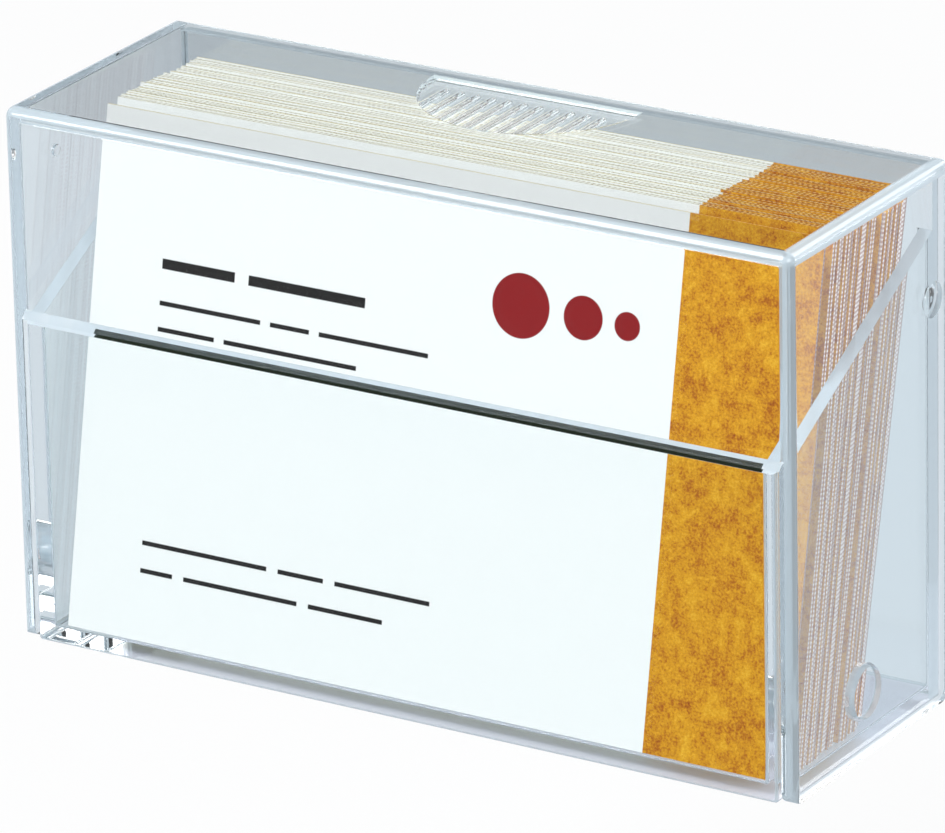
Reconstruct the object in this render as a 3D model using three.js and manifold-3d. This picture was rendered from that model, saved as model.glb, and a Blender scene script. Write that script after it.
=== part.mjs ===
// Business card box: a clear lid swings forward on two pins over a clear tray that holds leaning cards.
// Millimetres. X runs across the front, -Y is the front, +Z is up; the origin is the middle of the underside.

import * as THREE from "three";
import { RoundedBoxGeometry } from "three/addons/geometries/RoundedBoxGeometry.js";
import { mergeVertices } from "three/addons/utils/BufferGeometryUtils.js";
import Module from "manifold-3d";

const wasm = await Module();
wasm.setup();

// Cards
const cardWidth = 85;
const cardHeight = 55;
const cardThickness = 0.3;
const stackCount = 40; // cards in the stack, behind the one loose card at the front
const cardGap = 0.03; // air between two cards at their feet
const fanAngle = 2.8; // degrees that the last card leans more than the first one of the stack
const looseCardExtraLean = 0.4; // degrees that the loose card leans more than the first of the stack
const looseCardSetback = 0.65; // from the tray's front wall to the loose card's foot
const looseCardShift = 0.35; // towards +X
const stackSetback = 3.3; // from the tray's front wall to the foot of the first card of the stack
const cardEndScatter = 0.35; // how far a card's end stands out of line, either way
const cardFootGap = 0.1;
const lastCardGap = 0.2; // from the last card's top to the tray's back wall

// Room in the box
const cardSideClearance = 1; // beside the cards, each side
const headroom = 1.5; // over an upright card
const stackRoom = 29.5; // front to back, inside the tray

// Walls and gaps
const trayWall = 1.5;
const lidWall = 1.5;
const floorThickness = 1.5;
const sideGap = 0.5; // between a tray side and the cheek beside it
const topGap = 0.3; // between the tray's back wall and the lid's top plate
const partingHeight = 36.2; // lower edge of the lid's front wall, on its outer face
const partingGap = 0.4;

// Edges
const lidEdgeRadius = 1.2;
const trayEdgeRadius = 0.4;
const insideRadius = 0.4;
const cheekCornerRadius = 1.5;
const topBackRadius = 0.7;

// Hinge
const hingeHeight = 6.5;
const pinDiameter = 5.6;
const pinClearance = 0.3; // all round the pin in its hole
const pinSetback = 0.05; // the pin ends this far short of the tray's inner face

// Snap that keeps the lid shut
const snapHeight = 44.8;
const snapFromBack = 2.3;
const bumpDiameter = 2.8;
const bumpClearance = 0.15; // from the bump's crown to the cheek
const dimpleDiameter = 3.9;
const dimpleDepth = 0.4;

// Moulding pip inside the left cheek
const pipDiameter = 1.3;
const pipHeight = 0.3;
const pipFromFront = 8;
const pipBelowTop = 6.8;

// Half-round thumb recess in the top plate, with ribs that run front to back
const recessRadius = 12.6;
const recessFromBack = 2.7;
const recessDepth = 0.6;
const ribCount = 11;
const ribPitch = 1.9;
const ribWidth = 1.1;
const ribHeight = 0.45;
const ribsFromBack = 5;

// Worked out from the sizes above
const width = cardWidth + 2 * (cardSideClearance + trayWall + sideGap + lidWall);
const depth = stackRoom + 2 * trayWall;
const height = floorThickness + cardHeight + headroom + lidWall;
const front = -depth / 2;
const back = depth / 2;
const cheekInside = width / 2 - lidWall;
const trayOutside = cheekInside - sideGap;
const trayInside = trayOutside - trayWall;
const ceiling = height - lidWall;
const trayTop = ceiling - topGap;
const hingeDepth = 0; // half of the depth, so that the lid can swing right over
// The parting plane is tangent to the swing of the lid's lower front edge, so that the two front walls clear.
const partingSlope = (depth / 2 - lidWall / 2) / (partingHeight - hingeHeight);
const overrun = 6; // how far a cutting block passes a face

const radians = THREE.MathUtils.degToRad;

function toSolid(geometry) {
  geometry.deleteAttribute("normal");
  geometry.deleteAttribute("uv");
  const merged = mergeVertices(geometry, 1e-4);
  return new wasm.Manifold(new wasm.Mesh({
    numProp: 3,
    vertProperties: new Float32Array(merged.attributes.position.array),
    triVerts: new Uint32Array(merged.index.array),
  }));
}

function toMesh(name, solid, material) {
  const { vertProperties, triVerts } = solid.getMesh();
  const geometry = new THREE.BufferGeometry();
  geometry.setAttribute("position", new THREE.BufferAttribute(vertProperties, 3));
  geometry.setIndex(new THREE.BufferAttribute(triVerts, 1));
  geometry.computeVertexNormals();
  const mesh = new THREE.Mesh(geometry, material);
  mesh.name = name;
  return mesh;
}

// A block between two corners.
function block(low, high) {
  const geometry = new THREE.BoxGeometry(high[0] - low[0], high[1] - low[1], high[2] - low[2]);
  geometry.translate((low[0] + high[0]) / 2, (low[1] + high[1]) / 2, (low[2] + high[2]) / 2);
  return toSolid(geometry);
}

// A block between two corners with every edge rounded.
function roundedBlock(low, high, radius) {
  const size = [high[0] - low[0], high[1] - low[1], high[2] - low[2]];
  const geometry = new RoundedBoxGeometry(size[0], size[1], size[2], 3, radius);
  geometry.translate((low[0] + high[0]) / 2, (low[1] + high[1]) / 2, (low[2] + high[2]) / 2);
  return toSolid(geometry);
}

// A side view, drawn as Y to the right and Z up, pushed through from -halfWidth to halfWidth along X.
function sidePrism(shape, halfWidth) {
  const geometry = new THREE.ExtrudeGeometry(shape, {
    depth: 2 * halfWidth,
    bevelEnabled: false,
    curveSegments: 6,
  });
  geometry.translate(0, 0, -halfWidth);
  const turn = new THREE.Matrix4().makeBasis(
    new THREE.Vector3(0, 1, 0),
    new THREE.Vector3(0, 0, 1),
    new THREE.Vector3(1, 0, 0),
  );
  geometry.applyMatrix4(turn);
  return toSolid(geometry);
}

// A round bar along X.
function barAlongX(radius, fromX, toX, y, z, segments = 40) {
  const geometry = new THREE.CylinderGeometry(radius, radius, Math.abs(toX - fromX), segments);
  geometry.rotateZ(Math.PI / 2);
  geometry.translate((fromX + toX) / 2, y, z);
  return toSolid(geometry);
}

// A ball whose cap of the given chord and rise stands on the plane at x, bulging towards side.
function capBall(chord, rise, x, side, y, z) {
  const radius = ((chord / 2) ** 2 + rise ** 2) / (2 * rise);
  const geometry = new THREE.SphereGeometry(radius, 24, 60);
  geometry.rotateZ(Math.PI / 2);
  geometry.translate(x + side * (rise - radius), y, z);
  return toSolid(geometry);
}

function clearPlastic(opacity) {
  return new THREE.MeshStandardMaterial({
    color: 0xd5dde5,
    roughness: 0.08,
    metalness: 0,
    transparent: true,
    opacity,
  });
}

// Height of the lid's parting plane at a given depth.
function partingAt(y) {
  return partingHeight + partingSlope * (y - front);
}

function lidOutline() {
  const outline = new THREE.Shape();
  const r = cheekCornerRadius;
  outline.moveTo(front + r, 0);
  outline.lineTo(back - r, 0);
  outline.absarc(back - r, r, r, -Math.PI / 2, 0, false);
  outline.lineTo(back, height - topBackRadius);
  outline.absarc(back - topBackRadius, height - topBackRadius, topBackRadius, 0, Math.PI / 2, false);
  outline.lineTo(back - topBackRadius, height + overrun);
  outline.lineTo(front - overrun, height + overrun);
  outline.lineTo(front - overrun, partingHeight);
  outline.lineTo(front, partingHeight);
  outline.lineTo(front, r);
  outline.absarc(front + r, r, r, Math.PI, 1.5 * Math.PI, false);
  return outline;
}

function thumbRecess() {
  const straightEdge = back - recessFromBack;
  const halfDisc = new THREE.Shape();
  halfDisc.absarc(0, 0, recessRadius, Math.PI, 2 * Math.PI, false);
  const pocket = new THREE.ExtrudeGeometry(halfDisc, {
    depth: recessDepth + overrun,
    bevelEnabled: false,
    curveSegments: 32,
  });
  pocket.translate(0, straightEdge, height - recessDepth);
  let cut = toSolid(pocket);
  const ribEnd = back - ribsFromBack;
  for (let i = 0; i < ribCount; i += 1) {
    const x = (i - (ribCount - 1) / 2) * ribPitch;
    const rib = new THREE.CylinderGeometry(ribWidth / 2, ribWidth / 2, recessRadius, 16);
    rib.scale(1, 1, ribHeight / (ribWidth / 2));
    rib.translate(x, ribEnd - recessRadius / 2, height - recessDepth);
    cut = cut.subtract(toSolid(rib));
  }
  return cut;
}

function makeLid() {
  const edge = Math.min(lidEdgeRadius, lidWall);
  let solid = roundedBlock(
    [-width / 2, front, -overrun],
    [width / 2, back + overrun, height],
    edge,
  );
  solid = solid.intersect(sidePrism(lidOutline(), width / 2 + overrun));
  solid = solid.subtract(roundedBlock(
    [-cheekInside, front + lidWall, -2 * overrun],
    [cheekInside, back + 2 * overrun, ceiling],
    insideRadius,
  ));

  const frontCut = new THREE.Shape();
  const behind = front + lidWall + overrun / 4;
  frontCut.moveTo(front - overrun, -overrun);
  frontCut.lineTo(behind, -overrun);
  frontCut.lineTo(behind, partingAt(behind));
  frontCut.lineTo(front - overrun, partingAt(front - overrun));
  solid = solid.subtract(sidePrism(frontCut, cheekInside));
  solid = solid.subtract(thumbRecess());

  const snapY = back - snapFromBack;
  for (const side of [-1, 1]) {
    const pinEnd = trayInside + pinSetback;
    const pinRoot = cheekInside + lidWall / 2;
    solid = solid.add(barAlongX(pinDiameter / 2, side * pinEnd, side * pinRoot, hingeDepth, hingeHeight));
    solid = solid.subtract(capBall(dimpleDiameter, dimpleDepth, side * cheekInside, side, snapY, snapHeight));
  }
  const pipY = front + pipFromFront;
  const pipZ = height - pipBelowTop;
  const pipTip = -cheekInside + pipHeight;
  solid = solid.add(barAlongX(pipDiameter / 2, pipTip, -cheekInside - lidWall / 2, pipY, pipZ, 20));
  return toMesh("lid", solid, clearPlastic(0.25));
}

function trayOutline() {
  const outline = new THREE.Shape();
  const backInside = back - trayWall;
  outline.moveTo(front - overrun, -overrun);
  outline.lineTo(back + overrun, -overrun);
  outline.lineTo(back + overrun, trayTop);
  outline.lineTo(backInside, trayTop);
  outline.lineTo(backInside, partingAt(backInside) - partingGap);
  outline.lineTo(front - overrun, partingAt(front - overrun) - partingGap);
  return outline;
}

function makeTray() {
  let solid = roundedBlock(
    [-trayOutside, front, 0],
    [trayOutside, back, height + overrun],
    trayEdgeRadius,
  );
  solid = solid.intersect(sidePrism(trayOutline(), trayOutside + overrun));
  solid = solid.subtract(roundedBlock(
    [-trayInside, front + trayWall, floorThickness],
    [trayInside, back - trayWall, height + 2 * overrun],
    insideRadius,
  ));
  const hole = pinDiameter / 2 + pinClearance;
  solid = solid.subtract(barAlongX(hole, -width / 2, width / 2, hingeDepth, hingeHeight));
  const bumpHeight = sideGap - bumpClearance;
  for (const side of [-1, 1]) {
    const ball = capBall(bumpDiameter, bumpHeight, side * trayOutside, side, back - snapFromBack, snapHeight);
    const near = trayOutside - trayWall / 2;
    const far = trayOutside + sideGap;
    const keep = block(
      [Math.min(side * near, side * far), front, 0],
      [Math.max(side * near, side * far), back, height],
    );
    solid = solid.add(ball.intersect(keep));
  }
  return toMesh("base_tray", solid, clearPlastic(0.3));
}

// One card. Its foot's front edge is at footY, and it leans back by lean degrees.
function makeCard(number, footY, lean, shift) {
  const material = new THREE.MeshStandardMaterial({ color: 0xf2f5f2, roughness: 0.6, metalness: 0 });
  const geometry = new THREE.BoxGeometry(cardWidth, cardThickness, cardHeight);
  geometry.translate(0, cardThickness / 2, cardHeight / 2);
  const card = new THREE.Mesh(geometry, material);
  card.name = `card_${String(number).padStart(2, "0")}`;
  const turn = radians(lean);
  card.rotation.x = -turn;
  card.position.set(shift, footY, floorThickness + cardFootGap + cardThickness * Math.sin(turn));
  return card;
}

// How far the ends of a card stand out of line: the cards lie in a few bundles, with less scatter in a bundle.
function endShift(index) {
  const bundle = Math.sin(1.7 * Math.floor(index / 6) + 0.6);
  const within = Math.sin(index * 2.399);
  return cardEndScatter * (0.65 * bundle + 0.35 * within);
}

function makeCards() {
  const cards = new THREE.Group();
  const frontInside = front + trayWall;
  const backInside = back - trayWall;
  const pitch = cardThickness + cardGap;
  const firstFoot = frontInside + stackSetback;

  // The last card rests against the back wall, which sets its lean; the steps between two feet follow the lean.
  const stackFoot = pitch * (stackCount - 1);
  let lastLean = 12;
  for (let pass = 0; pass < 8; pass += 1) {
    const meanLean = radians(lastLean - fanAngle / 2);
    const lastFoot = firstFoot + stackFoot / Math.cos(meanLean);
    const reach = backInside - lastCardGap - lastFoot - cardThickness * Math.cos(radians(lastLean));
    lastLean = THREE.MathUtils.radToDeg(Math.asin(reach / cardHeight));
  }
  const firstLean = lastLean - fanAngle;

  cards.add(makeCard(1, frontInside + looseCardSetback, firstLean + looseCardExtraLean, looseCardShift));
  let foot = firstFoot;
  for (let i = 0; i < stackCount; i += 1) {
    const lean = firstLean + (fanAngle * i) / (stackCount - 1);
    cards.add(makeCard(i + 2, foot, lean, endShift(i)));
    foot += pitch / Math.cos(radians(lean));
  }
  return cards;
}

const box = new THREE.Group();
box.name = "card_box";
box.add(makeTray());
box.add(makeLid());
box.add(makeCards());

export default box;
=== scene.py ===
import math

import bmesh
import bpy
from mathutils import Matrix, Vector


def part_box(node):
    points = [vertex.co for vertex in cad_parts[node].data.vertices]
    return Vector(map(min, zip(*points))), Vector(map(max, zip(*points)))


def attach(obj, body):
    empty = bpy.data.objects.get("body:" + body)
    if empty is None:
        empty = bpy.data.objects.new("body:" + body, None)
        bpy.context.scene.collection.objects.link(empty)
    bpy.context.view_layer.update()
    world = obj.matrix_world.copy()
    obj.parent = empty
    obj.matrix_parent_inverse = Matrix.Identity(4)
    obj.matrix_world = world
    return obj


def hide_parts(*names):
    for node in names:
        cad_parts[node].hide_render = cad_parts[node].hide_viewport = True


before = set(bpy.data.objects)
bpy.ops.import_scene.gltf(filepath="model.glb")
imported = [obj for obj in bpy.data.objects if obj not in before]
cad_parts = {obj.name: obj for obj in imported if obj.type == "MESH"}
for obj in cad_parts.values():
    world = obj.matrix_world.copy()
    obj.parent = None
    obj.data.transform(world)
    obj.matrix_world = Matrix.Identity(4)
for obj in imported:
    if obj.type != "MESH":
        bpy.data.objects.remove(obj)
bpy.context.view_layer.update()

# Business card box: a clear lid hinged to a clear tray, and the cards that lean in it.
# Metres in the scene. The dictionaries below hold millimetres, and mm() turns them into metres.


def mm(value):
    return value * 0.001


def tone(red, green, blue):
    # a colour as a picture editor shows it, 0 to 255, made linear
    out = []
    for part in (red, green, blue):
        c = part / 255
        out.append(c / 12.92 if c <= 0.04045 else ((c + 0.055) / 1.055) ** 2.4)
    return (*out, 1.0)


# Shader maths

class Wire:
    # one output socket, which adds Math nodes when it is used in a sum
    def __init__(self, shader, socket):
        self.shader = shader
        self.socket = socket

    def __add__(self, other):
        return self.shader.maths("ADD", self, other)

    __radd__ = __add__

    def __sub__(self, other):
        return self.shader.maths("SUBTRACT", self, other)

    def __rsub__(self, other):
        return self.shader.maths("SUBTRACT", other, self)

    def __mul__(self, other):
        return self.shader.maths("MULTIPLY", self, other)

    __rmul__ = __mul__

    def __gt__(self, other):
        return self.shader.maths("GREATER_THAN", self, other)

    def __lt__(self, other):
        return self.shader.maths("LESS_THAN", self, other)


class Shader:
    def __init__(self, owner):
        owner.use_nodes = True
        self.tree = owner.node_tree
        self.tree.nodes.clear()

    def node(self, kind, settings=None, inputs=None, output=0):
        made = self.tree.nodes.new(kind)
        for name, value in (settings or {}).items():
            if name == "stops":
                self.setStops(made.color_ramp, value)
            else:
                setattr(made, name, value)
        for name, value in (inputs or {}).items():
            socket = made.inputs[name]
            if isinstance(value, Wire):
                self.tree.links.new(value.socket, socket)
            else:
                socket.default_value = value
        if not made.outputs:
            return made
        return Wire(self, made.outputs[output])

    def setStops(self, ramp, stops):
        while len(ramp.elements) < len(stops):
            ramp.elements.new(1.0)
        for element, (place, colour) in zip(ramp.elements, stops):
            element.position = place
            element.color = colour

    def maths(self, operation, *values, clamp=False):
        return self.node(
            "ShaderNodeMath",
            {"operation": operation, "use_clamp": clamp},
            dict(enumerate(values)),
        )

    def mixColour(self, factor, first, second):
        return self.node(
            "ShaderNodeMix", {"data_type": "RGBA"}, {0: factor, 6: first, 7: second}, output=2,
        )

    def band(self, value, low, high, soft):
        # 1 between low and high, with soft edges of that width
        rise = self.node(
            "ShaderNodeMapRange", {"interpolation_type": "SMOOTHSTEP"},
            {"Value": value, "From Min": low - soft, "From Max": low + soft},
        )
        fall = self.node(
            "ShaderNodeMapRange", {"interpolation_type": "SMOOTHSTEP"},
            {"Value": value, "From Min": high - soft, "From Max": high + soft},
        )
        return rise * (1 - fall)

    def finish(self, surface):
        self.node("ShaderNodeOutputMaterial", inputs={"Surface": surface})


def newMaterial(name):
    material = bpy.data.materials.new(name)
    return material, Shader(material)


# Clear plastic

plastic = {
    "ior": 1.59,
    "lidTint": tone(250, 252, 253),
    "trayTint": tone(246, 250, 251),
    "lightTint": tone(250, 252, 253),
    "roughness": 0.0,
    "waveScale": 90.0,  # the slight waves that moulding leaves in a flat wall
    "waveDepth": 0.4,
    "waviness": 0.015,
    "edgeTint": tone(200, 213, 221),  # rounded edges
    "edgeClear": 0.4,
    "rimTint": tone(204, 216, 224),  # the cut faces round the walls
    "rimClear": 0.15,
    "partingPaintedShade": tone(34, 40, 32),  # painted shade: a dark finish for the dark line between lid and tray across the front
    "partingClear": 0.1,
    "undersideTint": tone(232, 234, 248),
    "undersideClear": 0.1,
}


def makeClearPlastic(name, tint, clear=1.0):
    material, s = newMaterial(name)
    place = s.node("ShaderNodeTexCoord", output=3)
    flow = s.node(
        "ShaderNodeTexNoise", None,
        {"Vector": place, "Scale": plastic["waveScale"], "Detail": 2.0, "Roughness": 0.45},
    )
    swell = s.node(
        "ShaderNodeBump", None,
        {"Strength": plastic["waviness"], "Distance": mm(plastic["waveDepth"]), "Height": flow},
    )
    body = s.node(
        "ShaderNodeBsdfPrincipled", None,
        {
            "Base Color": tint,
            "Roughness": plastic["roughness"],
            "IOR": plastic["ior"],
            "Transmission Weight": clear,
            "Normal": swell,
        },
    )
    passing = s.node("ShaderNodeBsdfTransparent", None, {"Color": plastic["lightTint"]})
    # the lamps' light goes straight through to the cards
    shadowRay = s.node("ShaderNodeLightPath", output="Is Shadow Ray")
    diffuseRay = s.node("ShaderNodeLightPath", output="Is Diffuse Ray")
    light = s.maths("MAXIMUM", shadowRay, diffuseRay)
    s.finish(s.node("ShaderNodeMixShader", None, {0: light, 1: body, 2: passing}))
    return material


# Card stock. A card's own frame starts at the middle of its foot.
# Its pass index is its number in the stack, from 0 at the front.

card = {
    "width": 85.0,
    "height": 55.0,
    "thickness": 0.3,
    "settle": 0.035,  # how unevenly the cards stand on the tray's floor
    "standingTall": {6: 0.12, 13: 0.24, 25: 0.2, 33: 0.12},
    "paper": tone(250, 251, 249),
    "faceRoughness": 0.5,
    "faceGloss": 0.15,
    "grainScale": 3.5,
    "grainDepth": 0.05,
    "edgeRoughness": 0.75,
    "stripeFrom": 70.5,
    "red": tone(140, 10, 16),
    "ink": tone(22, 20, 20),
    "printBlur": 0.05,
}
printedLines = (
    # height of its middle, thickness, then where each bar starts and ends
    (40.6, 1.1, (8.5, 17.5), (19.2, 33.5)),
    (36.4, 0.5, (8.5, 21.0), (22.2, 27.0), (28.2, 41.5)),
    (33.6, 0.5, (8.5, 15.5), (16.7, 33.0)),
    (10.6, 0.5, (8.5, 24.0), (25.4, 31.0), (32.4, 44.0)),
    (7.6, 0.5, (8.5, 12.5), (13.9, 28.0), (29.4, 38.5)),
)
# across, up and radius of each disc
printedDiscs = ((52.0, 43.5, 3.4), (59.4, 43.5, 2.3), (64.6, 43.5, 1.5))
mottle = {
    # scale, detail, roughness and share of each layer of noise
    "layers": ((0.3, 2.0, 0.5, 0.26), (0.95, 6.0, 0.72, 0.4), (3.6, 3.0, 0.6, 0.34)),
    "stops": (
        (0.36, tone(146, 66, 10)),
        (0.43, tone(180, 104, 12)),
        (0.48, tone(206, 138, 18)),
        (0.54, tone(224, 160, 24)),
        (0.64, tone(240, 186, 52)),
    ),
}
ripple = {
    "top": 0.62,  # length of a wave along the top edges
    "end": 0.47,  # and along the ends
    "lean": 0.55,  # how far the waves shift from one card to the next
    "turn": 9.0,  # cards before they shift back
    "contrast": 0.8,
    "bundle": 5.0,  # cards from one painted shade line in the gaps to the next
    # share of the painted shade in the gaps between bundles
    "gapShadeStrength": 0.7,
}


def makeMottle(s, spot):
    height = None
    for scale, detail, roughness, share in mottle["layers"]:
        noise = s.node(
            "ShaderNodeTexNoise", None,
            {"Vector": spot, "Scale": scale, "Detail": detail, "Roughness": roughness},
        )
        layer = noise * share
        height = layer if height is None else height + layer
    return s.node("ShaderNodeValToRGB", {"stops": mottle["stops"]}, {"Fac": height})


def makeSpot(s):
    # the place on the card in millimetres: x from its left end, z up from its foot, with its number as y
    place = s.node("ShaderNodeTexCoord", output=3)
    x = s.node("ShaderNodeSeparateXYZ", None, {0: place}, output=0) * 1000 + card["width"] / 2
    z = s.node("ShaderNodeSeparateXYZ", None, {0: place}, output=2) * 1000
    number = s.node("ShaderNodeObjectInfo", output=3)
    spot = s.node("ShaderNodeCombineXYZ", None, {0: x, 1: number, 2: z})
    return spot, x, number, z


def makeCardFace():
    material, s = newMaterial("printed_card")
    spot, x, number, z = makeSpot(s)
    blur = card["printBlur"]
    ink = None
    for height, thick, *bars in printedLines:
        across = None
        for start, end in bars:
            bar = s.band(x, start, end, blur)
            across = bar if across is None else across + bar
        line = s.band(z, height - thick / 2, height + thick / 2, blur) * across
        ink = line if ink is None else ink + line
    red = None
    for middle, height, radius in printedDiscs:
        dx = x - middle
        dz = z - height
        disc = s.node(
            "ShaderNodeMapRange", {"interpolation_type": "SMOOTHSTEP"},
            {
                "Value": s.maths("SQRT", dx * dx + dz * dz),
                "From Min": radius + blur, "From Max": radius - blur,
            },
        )
        red = disc if red is None else red + disc
    stripe = x > card["stripeFrom"]
    colour = s.mixColour(stripe, card["paper"], makeMottle(s, spot))
    colour = s.mixColour(red, colour, card["red"])
    colour = s.mixColour(ink, colour, card["ink"])
    finishPaper(s, spot, colour)
    return material


def makeCardBack():
    material, s = newMaterial("plain_card_back")
    spot = makeSpot(s)[0]
    finishPaper(s, spot, card["paper"])
    return material


def finishPaper(s, spot, colour):
    paperGrain = s.node(
        "ShaderNodeTexNoise", None, {"Vector": spot, "Scale": card["grainScale"], "Detail": 3.0},
    )
    lift = s.node(
        "ShaderNodeBump", None,
        {"Strength": 0.12, "Distance": mm(card["grainDepth"]), "Height": paperGrain},
    )
    s.finish(s.node(
        "ShaderNodeBsdfPrincipled", None,
        {
            "Base Color": colour,
            "Roughness": card["faceRoughness"],
            "Specular IOR Level": card["faceGloss"],
            "Normal": lift,
        },
    ))


def makeCardEdge(name, period, upright, tones):
    # the cut edges, where the stack shows the fine ripple of the cutter's blade, and painted shade
    # darkens every fifth card's edge where the bundles part
    material, s = newMaterial(name)
    spot, x, number, z = makeSpot(s)
    along = z if upright else x
    slant = s.maths("PINGPONG", number, ripple["turn"]) * ripple["lean"]
    wave = s.maths("SINE", along * (2 * math.pi / period) + slant)
    patches = s.node("ShaderNodeTexNoise", None, {"Vector": spot, "Scale": 0.55, "Detail": 3.0})
    dark = s.maths("MULTIPLY_ADD", wave, ripple["contrast"], patches, clamp=True)
    # painted shade: every fifth card's edge is darkened as if in the gap between bundles
    gapShade = s.maths("MODULO", number, ripple["bundle"]) < 0.5
    stripe = (x > card["stripeFrom"]) * tones["stripeShare"]
    colours = []
    for key in ("light", "dark", "gapShade"):
        plain, printed = tones[key]
        colours.append(s.mixColour(stripe, plain, printed))
    colour = s.mixColour(dark, colours[0], colours[1])
    colour = s.mixColour(gapShade * ripple["gapShadeStrength"], colour, colours[2])
    s.finish(s.node(
        "ShaderNodeBsdfPrincipled", None, {"Base Color": colour, "Roughness": card["edgeRoughness"]},
    ))
    return material


# each pair is the plain card's tone, then the printed stripe's
# the third pair of each is painted shade for the gaps between bundles of cards
topTones = {
    "stripeShare": 1.0,
    "light": (tone(255, 251, 220), tone(255, 220, 146)),
    "dark": (tone(196, 182, 140), tone(160, 92, 24)),
    "gapShade": (tone(253, 234, 172), tone(240, 166, 30)),
}
endTones = {
    "stripeShare": 0.1,
    "light": (tone(255, 247, 248), tone(250, 214, 150)),
    "dark": (tone(206, 170, 164), tone(150, 96, 50)),
    "gapShade": (tone(138, 92, 78), tone(120, 66, 30)),
}


def sideOf(normal):
    # 0 the printed front, 1 the top and the foot, 2 the ends, 3 the plain back
    if abs(normal.z) > 0.5:
        return 1
    if abs(normal.x) > 0.5:
        return 2
    return 0 if normal.y < 0 else 3


def makeCard(name, number, materials):
    corners = [v.co.copy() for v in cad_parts[name].data.vertices]
    footFront = min(corners, key=lambda p: p.y)
    topFront = max(corners, key=lambda p: p.z)
    middle = (min(p.x for p in corners) + max(p.x for p in corners)) / 2
    up = Vector((0, topFront.y - footFront.y, topFront.z - footFront.z)).normalized()
    through = Vector((0, up.z, -up.y))
    unevenness = math.sin(number * 2.7 + 0.4)  # any steady scatter between -1 and 1
    lift = mm(card["settle"] * unevenness + card["standingTall"].get(number, 0.0))

    w = mm(card["width"])
    t = mm(card["thickness"])
    h = mm(card["height"])
    block = bmesh.new()
    bmesh.ops.create_cube(block, size=1.0)
    for v in block.verts:
        v.co = Vector((v.co.x * w, (v.co.y + 0.5) * t, (v.co.z + 0.5) * h))
    block.normal_update()
    for face in block.faces:
        face.material_index = sideOf(face.normal)
    mesh = bpy.data.meshes.new(name + "_printed")
    block.to_mesh(mesh)
    block.free()
    for material in materials:
        mesh.materials.append(material)
    thing = bpy.data.objects.new(name + "_printed", mesh)
    thing.pass_index = number
    bpy.context.scene.collection.objects.link(thing)
    thing.matrix_world = Matrix((
        (1, through.x, up.x, middle),
        (0, through.y, up.y, footFront.y + lift * up.y),
        (0, through.z, up.z, footFront.z + lift * up.z),
        (0, 0, 0, 1),
    ))
    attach(thing, "base")
    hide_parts(name)


# Shells

def newObject(name, build):
    mesh = bpy.data.meshes.new(name)
    build.to_mesh(mesh)
    build.free()
    thing = bpy.data.objects.new(name, mesh)
    bpy.context.scene.collection.objects.link(thing)
    return thing


def roundedBlock(low, high, radius, steps=8):
    build = bmesh.new()
    bmesh.ops.create_cube(build, size=1.0)
    for v in build.verts:
        v.co = Vector([mm(low[i]) if v.co[i] < 0 else mm(high[i]) for i in range(3)])
    bmesh.ops.bevel(
        build, geom=list(build.edges), offset=mm(radius), segments=steps, affect="EDGES", profile=0.5,
    )
    return newObject("block", build)


def sidePrism(outline, halfWidth):
    build = bmesh.new()
    left = [build.verts.new((-mm(halfWidth), mm(y), mm(z))) for y, z in outline]
    right = [build.verts.new((mm(halfWidth), mm(y), mm(z))) for y, z in outline]
    build.faces.new(left)
    build.faces.new(list(reversed(right)))
    for i in range(len(outline)):
        j = (i + 1) % len(outline)
        build.faces.new((left[j], left[i], right[i], right[j]))
    bmesh.ops.recalc_face_normals(build, faces=build.faces)
    return newObject("prism", build)


def arc(y, z, radius, fromAngle, toAngle, steps=8):
    points = []
    for i in range(steps + 1):
        a = math.radians(fromAngle + (toAngle - fromAngle) * i / steps)
        points.append((y + radius * math.cos(a), z + radius * math.sin(a)))
    return points


def barAlongX(radius, fromX, toX, y, z, steps=64, rounding=0.0):
    build = bmesh.new()
    turn = Matrix.Rotation(math.pi / 2, 4, "Y")
    place = Matrix.Translation((mm((fromX + toX) / 2), mm(y), mm(z)))
    bmesh.ops.create_cone(
        build, cap_ends=True, segments=steps, radius1=mm(radius), radius2=mm(radius),
        depth=mm(abs(toX - fromX)), matrix=place @ turn,
    )
    if rounding:
        rims = [e for e in build.edges if len(e.link_faces) == 2 and e.calc_face_angle() > 1.0]
        bmesh.ops.bevel(build, geom=rims, offset=mm(rounding), segments=3, affect="EDGES", profile=0.5)
    return newObject("bar", build)


def capBall(chord, rise, x, side, y, z):
    radius = ((chord / 2) ** 2 + rise ** 2) / (2 * rise)
    build = bmesh.new()
    bmesh.ops.create_uvsphere(
        build, u_segments=96, v_segments=96, radius=mm(radius),
        matrix=Matrix.Translation((mm(x + side * (rise - radius)), mm(y), mm(z)))
        @ Matrix.Rotation(math.pi / 2, 4, "Y"),
    )
    return newObject("ball", build)


def carve(body, tool, operation):
    change = body.modifiers.new("carve", "BOOLEAN")
    change.operation = operation
    change.solver = "EXACT"
    change.object = tool
    settle(body)
    bpy.data.objects.remove(tool)


def settle(body):
    # applies the modifiers to the mesh
    bpy.context.view_layer.update()
    graph = bpy.context.evaluated_depsgraph_get()
    mesh = bpy.data.meshes.new_from_object(body.evaluated_get(graph))
    body.modifiers.clear()
    body.data = mesh


def softenEdges(body):
    bevel = body.modifiers.new("soft_edges", "BEVEL")
    bevel.width = mm(shell["softEdge"])
    bevel.segments = 2
    bevel.limit_method = "ANGLE"
    bevel.angle_limit = math.radians(shell["softFrom"])
    bevel.use_clamp_overlap = True
    settle(body)


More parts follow.
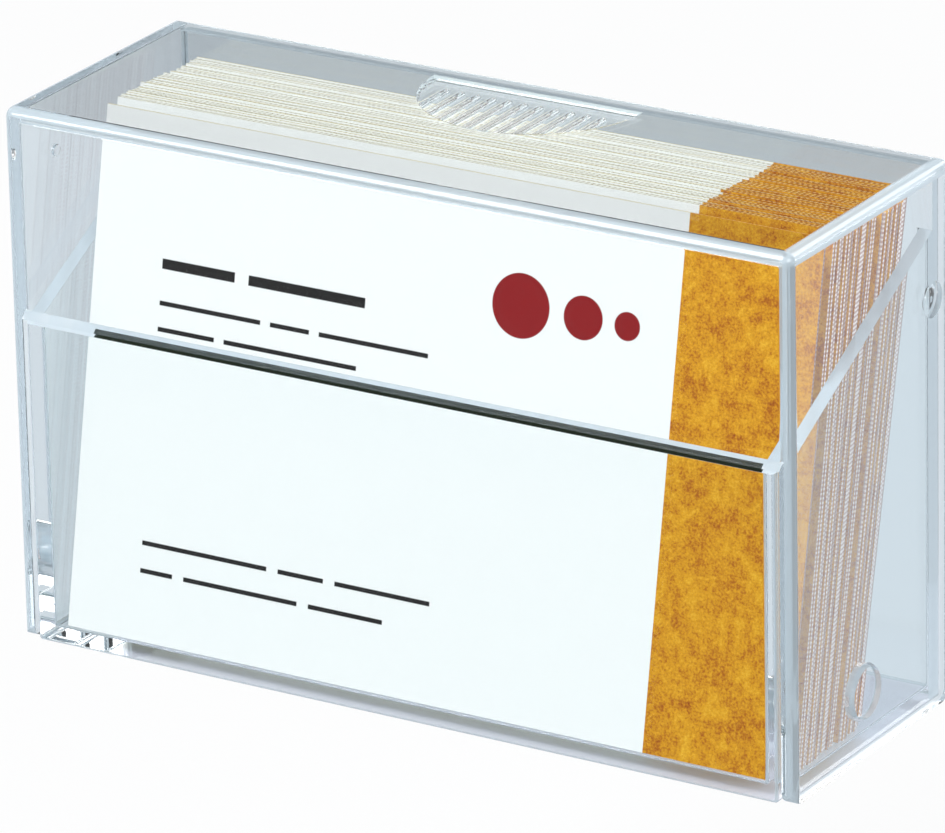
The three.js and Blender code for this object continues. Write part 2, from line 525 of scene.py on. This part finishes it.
shell = {
    "wall": 1.5,
    "floor": 1.5,
    "sideGap": 0.5,
    "topGap": 0.3,
    "partingHeight": 36.2,
    "partingGap": 0.4,
    "lidEdge": 1.2,  # radii of the rounded edges
    "trayEdge": 0.4,
    "inside": 0.4,
    "cheekCorner": 1.5,
    "topBack": 0.7,
    "softEdge": 0.1,  # a small bevel on every edge sharper than this many degrees
    "softFrom": 40.0,
    "overrun": 6.0,  # how far a cutting block reaches past the part
    "hingeHeight": 6.5,
    "pinRadius": 2.8,
    "pinClearance": 0.3,
    "pinSetback": 0.05,
    "pinRounding": 0.15,
    "snapHeight": 44.8,
    "snapFromBack": 2.3,
    "bump": (2.8, 0.35),  # chord and rise of the snap's two caps
    "dimple": (3.9, 0.4),
    "polishedEnd": 36.5,  # left of this the floor is polished, and the parting faces get the rim finish instead of the painted dark shade
    "partingShadeDepth": 0.8,  # depth of the painted dark shade on the lid's parting face
    "backRim": 2.5,
}
recess = {
    "radius": 12.6,
    "fromBack": 2.7,
    "depth": 0.6,
    "foot": 0.3,
    "ribs": 11,
    "pitch": 1.9,
    "ribWidth": 1.1,
    "ribHeight": 0.45,
    "ribNose": 0.6,
    "ribsFromBack": 5.0,
}
pip = {"radius": 0.65, "height": 0.3, "fromFront": 8.0, "belowTop": 6.8, "rounding": 0.12}

lidLow, lidHigh = (v * 1000 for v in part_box("lid"))
halfWidth = lidHigh.x
frontFace = lidLow.y
backFace = lidHigh.y
topFace = lidHigh.z
cheekInside = halfWidth - shell["wall"]
trayOutside = cheekInside - shell["sideGap"]
trayInside = trayOutside - shell["wall"]
ceiling = topFace - shell["wall"]
partingSlope = (backFace - shell["wall"] / 2) / (shell["partingHeight"] - shell["hingeHeight"])
over = shell["overrun"]


def partingAt(y):
    return shell["partingHeight"] + partingSlope * (y - frontFace)


def makeRecessTool():
    straightEdge = backFace - recess["fromBack"]
    low = topFace - recess["depth"]
    outline = []
    steps = 48
    for i in range(steps + 1):
        a = math.pi + math.pi * i / steps
        outline.append((recess["radius"] * math.cos(a), straightEdge + recess["radius"] * math.sin(a)))
    build = bmesh.new()
    bottom = [build.verts.new((mm(x), mm(y), mm(low))) for x, y in outline]
    top = [build.verts.new((mm(x), mm(y), mm(topFace + over))) for x, y in outline]
    build.faces.new(bottom)
    build.faces.new(list(reversed(top)))
    for i in range(len(outline)):
        j = (i + 1) % len(outline)
        build.faces.new((bottom[j], bottom[i], top[i], top[j]))
    bmesh.ops.recalc_face_normals(build, faces=build.faces)
    lowEdges = [e for e in build.edges if all(abs(v.co.z - mm(low)) < 1e-7 for v in e.verts)]
    bmesh.ops.bevel(
        build, geom=lowEdges, offset=mm(recess["foot"]), segments=4, affect="EDGES", profile=0.5,
    )
    tool = newObject("recess", build)
    # a rib is a ball stretched towards the front, taken off the cutting block
    ribEnd = backFace - recess["ribsFromBack"]
    nose = recess["ribNose"]
    reach = ribEnd - (straightEdge - recess["radius"]) + 2
    for i in range(recess["ribs"]):
        x = (i - (recess["ribs"] - 1) / 2) * recess["pitch"]
        rib = bmesh.new()
        bmesh.ops.create_uvsphere(rib, u_segments=24, v_segments=24, radius=0.5)
        for v in rib.verts:
            along = reach if v.co.y < -0.001 else 0.0
            v.co = Vector((
                mm(x + v.co.x * recess["ribWidth"]),
                mm(ribEnd - nose + v.co.y * 2 * nose - along),
                mm(low + v.co.z * 2 * recess["ribHeight"]),
            ))
        carve(tool, newObject("rib", rib), "DIFFERENCE")
    return tool


def makeLid(materials):
    body = roundedBlock(
        (-halfWidth, frontFace, -over), (halfWidth, backFace + over, topFace), shell["lidEdge"],
    )
    corner = shell["cheekCorner"]
    topBack = shell["topBack"]
    outline = arc(backFace - corner, corner, corner, -90, 0)
    outline += arc(backFace - topBack, topFace - topBack, topBack, 0, 90)
    outline += [
        (backFace - topBack, topFace + over),
        (frontFace - over, topFace + over),
        (frontFace - over, shell["partingHeight"]),
        (frontFace, shell["partingHeight"]),
    ]
    outline += arc(frontFace + corner, corner, corner, 180, 270)
    carve(body, sidePrism(outline, halfWidth + over), "INTERSECT")
    inner = roundedBlock(
        (-cheekInside, frontFace + shell["wall"], -2 * over),
        (cheekInside, backFace + 2 * over, ceiling),
        shell["inside"], 5,
    )
    carve(body, inner, "DIFFERENCE")
    behind = frontFace + shell["wall"] + over / 4
    opening = [
        (frontFace - over, -over),
        (behind, -over),
        (behind, partingAt(behind)),
        (frontFace - over, partingAt(frontFace - over)),
    ]
    carve(body, sidePrism(opening, cheekInside), "DIFFERENCE")
    softenEdges(body)
    carve(body, makeRecessTool(), "DIFFERENCE")
    snapY = backFace - shell["snapFromBack"]
    for side in (-1, 1):
        dimple = capBall(*shell["dimple"], side * cheekInside, side, snapY, shell["snapHeight"])
        carve(body, dimple, "DIFFERENCE")
        pinEnd = trayInside + shell["pinSetback"]
        pin = barAlongX(
            shell["pinRadius"], side * pinEnd, side * (cheekInside + shell["wall"] / 2),
            0, shell["hingeHeight"], rounding=shell["pinRounding"],
        )
        carve(body, pin, "UNION")
    pipBar = barAlongX(
        pip["radius"], -cheekInside + pip["height"], -cheekInside - shell["wall"] / 2,
        frontFace + pip["fromFront"], topFace - pip["belowTop"], 32, rounding=pip["rounding"],
    )
    carve(body, pipBar, "UNION")
    dressShell(body, "clear_lid", "lid", "lid", materials)


def makeTray(materials):
    body = roundedBlock(
        (-trayOutside, frontFace, 0), (trayOutside, backFace, topFace + over), shell["trayEdge"], 5,
    )
    backInside = backFace - shell["wall"]
    trayTop = ceiling - shell["topGap"]
    outline = [
        (frontFace - over, -over),
        (backFace + over, -over),
        (backFace + over, trayTop),
        (backInside, trayTop),
        (backInside, partingAt(backInside) - shell["partingGap"]),
        (frontFace - over, partingAt(frontFace - over) - shell["partingGap"]),
    ]
    carve(body, sidePrism(outline, trayOutside + over), "INTERSECT")
    inner = roundedBlock(
        (-trayInside, frontFace + shell["wall"], shell["floor"]),
        (trayInside, backFace - shell["wall"], topFace + 2 * over),
        shell["inside"], 5,
    )
    carve(body, inner, "DIFFERENCE")
    softenEdges(body)
    hole = barAlongX(
        shell["pinRadius"] + shell["pinClearance"], -halfWidth, halfWidth, 0, shell["hingeHeight"],
    )
    carve(body, hole, "DIFFERENCE")
    snapY = backFace - shell["snapFromBack"]
    for side in (-1, 1):
        # only the cap of the ball is kept, from inside the wall to the cheek
        ball = capBall(*shell["bump"], side * trayOutside, side, snapY, shell["snapHeight"])
        near = side * (trayOutside - shell["wall"] / 2)
        far = side * (trayOutside + shell["sideGap"])
        keep = roundedBlock(
            (min(near, far), frontFace, 0), (max(near, far), backFace, topFace), 0.01, 1,
        )
        carve(ball, keep, "INTERSECT")
        carve(body, ball, "UNION")
    dressShell(body, "clear_tray", "base_tray", "base", materials)


def splitFaces(body, cuts):
    # cuts the large flat faces along planes, so that a part of one can have a finish of its own
    build = bmesh.new()
    build.from_mesh(body.data)
    for axis, place in cuts:
        normal = Vector([1.0 if i == axis else 0.0 for i in range(3)])
        bmesh.ops.bisect_plane(
            build, geom=list(build.verts) + list(build.edges) + list(build.faces),
            plane_co=normal * mm(place), plane_no=normal,
        )
    build.to_mesh(body.data)
    build.free()


# a shell's finishes, in the order of its materials
# parting is the dark finish that paints shade on the front parting faces
polished, edge, rim, parting, underside = range(5)
facing = 0.99  # a face looks along an axis when its normal does to this share
nearlyFlat = 0.985


def isRim(x, y, z, normal, isLid):
    if isLid:
        topPlateEdge = z > ceiling and (abs(normal.x) > facing or normal.y > facing)
        cheekEdge = abs(x) > cheekInside and normal.y > facing and y > 0
        return topPlateEdge or cheekEdge
    backWallEnd = abs(x) > trayInside + 0.1 and y > backFace - shell["backRim"]
    backWallTop = normal.z > facing and z > ceiling - 1
    return backWallEnd and abs(normal.x) > facing or backWallTop


def finishOf(face, isLid):
    x, y, z = (v * 1000 for v in face.center)
    normal = face.normal
    slant = Vector((0, -partingSlope, 1)).normalized()
    # across the front the parting faces get the dark finish, which paints shade there
    if abs(normal.dot(slant)) > facing and abs(z - partingAt(y)) < 1:
        onFront = -shell["polishedEnd"] < x < trayInside
        dark = onFront and (not isLid or y < frontFace + shell["partingShadeDepth"])
        return parting if dark else rim
    if isRim(x, y, z, normal, isLid):
        return rim
    if not isLid and z < 0.01:
        return underside if x > -shell["polishedEnd"] else polished
    fromHinge = math.hypot(y, z - shell["hingeHeight"])
    if fromHinge < shell["pinRadius"] + 0.1 and abs(x) < cheekInside and abs(normal.x) < nearlyFlat:
        return edge
    # the small curved details are polished like the walls that they stand in
    flat = max(abs(v) for v in normal) > nearlyFlat
    inRecess = abs(x) < recess["radius"] + 1 and z > topFace - 1.2 and y > backFace - 17
    nearSnap = math.hypot(y - backFace + shell["snapFromBack"], z - shell["snapHeight"]) < 4
    nearPip = x < 0 and math.hypot(y - frontFace - pip["fromFront"], z - topFace + pip["belowTop"]) < 2
    return polished if flat or inRecess or nearSnap or nearPip else edge


def dressShell(body, name, node, rides, materials):
    body.name = name
    body.data.name = name
    body.data.materials.clear()
    for material in materials:
        body.data.materials.append(material)
    # the axis and the place of each cut
    cuts = [(1, backFace - shell["wall"]), (0, trayInside), (0, -trayInside), (0, -shell["polishedEnd"])]
    if node == "lid":
        cuts += [(2, ceiling), (1, frontFace + shell["partingShadeDepth"])]
    else:
        cuts.append((1, backFace - shell["backRim"]))
    splitFaces(body, cuts)
    for face in body.data.polygons:
        face.material_index = finishOf(face, node == "lid")
        face.use_smooth = True
    body.data.set_sharp_from_angle(angle=math.radians(20))
    even = body.modifiers.new("even_shading", "WEIGHTED_NORMAL")
    even.keep_sharp = True
    even.weight = 100
    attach(body, rides)
    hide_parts(node)
    print(name, len(body.data.vertices), "vertices")


# Camera, at the photograph's viewing angle: a long lens from the front right, a little above

camera = {
    "azimuth": 31.858,
    "elevation": 21.262,
    "roll": -1.226,
    "distance": 942.5,
    "lens": 341.95,
    "aim": (-5.292, 7.921, 24.468),
}


def makeCamera():
    a = math.radians(camera["azimuth"])
    e = math.radians(camera["elevation"])
    back = Vector((math.sin(a) * math.cos(e), -math.cos(a) * math.cos(e), math.sin(e)))
    data = bpy.data.cameras.new("camera")
    data.lens = camera["lens"]
    data.sensor_width = 36.0
    data.clip_start = 0.05
    data.clip_end = 20.0
    eye = bpy.data.objects.new("camera", data)
    bpy.context.scene.collection.objects.link(eye)
    aimed = (-back).to_track_quat("-Z", "Y")
    rolled = Matrix.Rotation(math.radians(camera["roll"]), 3, "Z").to_quaternion()
    eye.rotation_mode = "QUATERNION"
    eye.rotation_quaternion = aimed @ rolled
    eye.location = Vector(camera["aim"]) * 0.001 + back * mm(camera["distance"])
    bpy.context.scene.camera = eye


# Studio. The lamps' places and sizes and the floor's are in metres.

studio = {
    "backdrop": 1.0,  # what the camera sees behind everything
    "room": 0.9,  # what lights and reflects in the box, from the sides
    "ceiling": 0.62,  # and from above
    "ceilingFrom": 0.3,
    "ceilingTo": 0.7,
    # dark cards held behind the box, which give the bent rays at its edges something to show
    "darkPatches": (
        {"towards": (-0.49, 0.80, 0.38), "level": 0.05, "edge": 0.965, "core": 0.988},
        {"towards": (-0.60, 0.50, 0.63), "level": 0.05, "edge": 0.968, "core": 0.979},
    ),
    "floorDrop": 55.0,  # millimetres of room for the lid, which swings below the tray
    "floorSize": 3.0,
    "floorColour": tone(84, 85, 86),
    "floorGlow": 0.88,  # as the camera sees it
    "floorBehind": 0.78,  # as it shows through the plastic
    "behindTint": tone(232, 241, 249),
    "behindFrom": -0.075,
    "behindTo": -0.045,
    "lampAim": (0, 0, 0.03),
    "key": {"place": (-0.45, -0.95, 0.85), "size": 0.7, "power": 13.0},
    "fill": {"place": (1.1, -0.6, 0.6), "size": 0.7, "power": 6.0},
    "window": {"place": (0.69, 1.1, 0.75), "size": 0.6, "power": 4.0},
}


def makeWorld():
    world = bpy.data.worlds.new("studio")
    bpy.context.scene.world = world
    s = Shader(world)
    cameraRay = s.node("ShaderNodeLightPath", output="Is Camera Ray")
    direction = s.node("ShaderNodeTexCoord", output=0)
    height = s.node("ShaderNodeSeparateXYZ", None, {0: direction}, output=2)
    rise = s.node(
        "ShaderNodeMapRange", {"interpolation_type": "SMOOTHSTEP"},
        {"Value": height, "From Min": studio["ceilingFrom"], "From Max": studio["ceilingTo"]},
    )
    room = studio["room"] - rise * (studio["room"] - studio["ceiling"])
    for patch in studio["darkPatches"]:
        towards = Vector(patch["towards"]).normalized()
        near = s.node(
            "ShaderNodeVectorMath", {"operation": "DOT_PRODUCT"}, {0: direction, 1: towards}, output=1,
        )
        dark = s.node(
            "ShaderNodeMapRange", {"interpolation_type": "SMOOTHSTEP"},
            {"Value": near, "From Min": patch["edge"], "From Max": patch["core"]},
        )
        room = room + dark * (patch["level"] - room)
    strength = room + cameraRay * (studio["backdrop"] - room)
    light = s.node("ShaderNodeBackground", None, {"Color": tone(255, 255, 255), "Strength": strength})
    s.node("ShaderNodeOutputWorld", inputs={"Surface": light})


def makeLamp(name, spec):
    data = bpy.data.lights.new(name, "AREA")
    data.shape = "SQUARE"
    data.size = spec["size"]
    data.energy = spec["power"]
    lamp = bpy.data.objects.new(name, data)
    bpy.context.scene.collection.objects.link(lamp)
    lamp.location = spec["place"]
    aim = Vector(studio["lampAim"]) - lamp.location
    lamp.rotation_mode = "QUATERNION"
    lamp.rotation_quaternion = aim.to_track_quat("-Z", "Y")


def makeFloor():
    build = bmesh.new()
    bmesh.ops.create_grid(build, x_segments=8, y_segments=8, size=studio["floorSize"])
    floor = newObject("floor", build)
    floor.location.z = -mm(studio["floorDrop"])
    material, s = newMaterial("studio_floor")
    matt = s.node("ShaderNodeBsdfDiffuse", None, {"Color": studio["floorColour"]})
    # the camera and a ray straight through the plastic find the floor bright everywhere,
    # and reflected light finds it bright behind the box and dim in front
    cameraRay = s.node("ShaderNodeLightPath", output="Is Camera Ray")
    passedRay = s.node("ShaderNodeLightPath", output="Is Transmission Ray")
    reflections = s.node("ShaderNodeLightPath", output="Glossy Depth")
    place = s.node("ShaderNodeTexCoord", output=3)
    behind = s.node(
        "ShaderNodeMapRange", {"interpolation_type": "SMOOTHSTEP"},
        {
            "Value": s.node("ShaderNodeSeparateXYZ", None, {0: place}, output=1),
            "From Min": studio["behindFrom"], "From Max": studio["behindTo"],
        },
    )
    straight = passedRay * (reflections < 0.5)
    bright = s.maths("MAXIMUM", straight, (1 - cameraRay) * behind)
    whiteGlow = s.node(
        "ShaderNodeEmission", None, {"Color": tone(255, 255, 255), "Strength": studio["floorGlow"]},
    )
    tintedGlow = s.node(
        "ShaderNodeEmission", None, {"Color": studio["behindTint"], "Strength": studio["floorBehind"]},
    )
    direct = s.node("ShaderNodeAddShader", None, {0: matt, 1: whiteGlow})
    indirect = s.node("ShaderNodeAddShader", None, {0: matt, 1: tintedGlow})
    seen = s.node("ShaderNodeMixShader", None, {0: cameraRay, 1: matt, 2: direct})
    s.finish(s.node("ShaderNodeMixShader", None, {0: bright, 1: seen, 2: indirect}))
    floor.data.materials.append(material)


def setView():
    scene = bpy.context.scene
    scene.view_settings.view_transform = "Standard"
    scene.cycles.max_bounces = 32
    scene.cycles.transmission_bounces = 32
    scene.cycles.glossy_bounces = 16
    scene.cycles.diffuse_bounces = 4
    scene.cycles.transparent_max_bounces = 32
    scene.cycles.use_denoising = True


setView()
makeCamera()
makeWorld()
makeFloor()
for name in ("key", "fill", "window"):
    makeLamp(name, studio[name])
print("studio ready")

cardMaterials = (
    makeCardFace(),
    makeCardEdge("card_top_edge", ripple["top"], False, topTones),
    makeCardEdge("card_end_edge", ripple["end"], True, endTones),
    makeCardBack(),
)
cardNodes = sorted(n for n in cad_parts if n.startswith("card_"))
for number, name in enumerate(cardNodes):
    makeCard(name, number, cardMaterials)
print(len(cardNodes), "cards")

softPlastics = (
    makeClearPlastic("plastic_edge", plastic["edgeTint"], plastic["edgeClear"]),
    makeClearPlastic("plastic_rim", plastic["rimTint"], plastic["rimClear"]),
    # the parting material is a dark finish that paints shade along the front parting line
    makeClearPlastic("plastic_parting_painted_shade", plastic["partingPaintedShade"], plastic["partingClear"]),
    makeClearPlastic("plastic_underside", plastic["undersideTint"], plastic["undersideClear"]),
)
makeLid((makeClearPlastic("clear_lid", plastic["lidTint"]), *softPlastics))
makeTray((makeClearPlastic("clear_tray", plastic["trayTint"]), *softPlastics))
print("shells ready")
